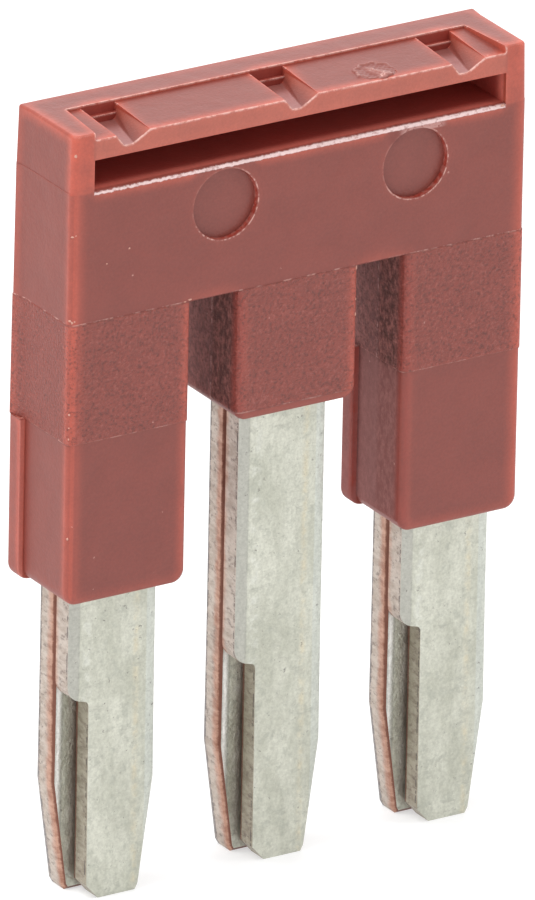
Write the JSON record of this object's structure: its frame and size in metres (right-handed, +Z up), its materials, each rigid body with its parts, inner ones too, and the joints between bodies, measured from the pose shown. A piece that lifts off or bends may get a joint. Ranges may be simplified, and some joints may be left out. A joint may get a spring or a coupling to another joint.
{
  "type": "terminal block jumper bar",
  "caption": "Plug-in bridge for rail terminal blocks: a red comb-shaped moulding on twin stamped contact combs with split prong tips.",
  "frame": {"origin": "under the middle prong, midway between the two combs, on the plane of the prong tips", "axes": "+X along the row of poles, +Y from the slotted front to the plain back, +Z up from the prong tips to the moulding"},
  "size_m": [0.0144, 0.0028, 0.0224],
  "materials": {
    "moulding": "satin red polyamide, finely grained on the upper legs",
    "contact_metal": "dull tin plating over stamped copper, bare copper on the sheared edges"
  },
  "bodies": {
    "root": {"housing": "moulding", "front_contact_comb": "contact_metal", "rear_contact_comb": "contact_metal"}
  },
  "joints": []
}
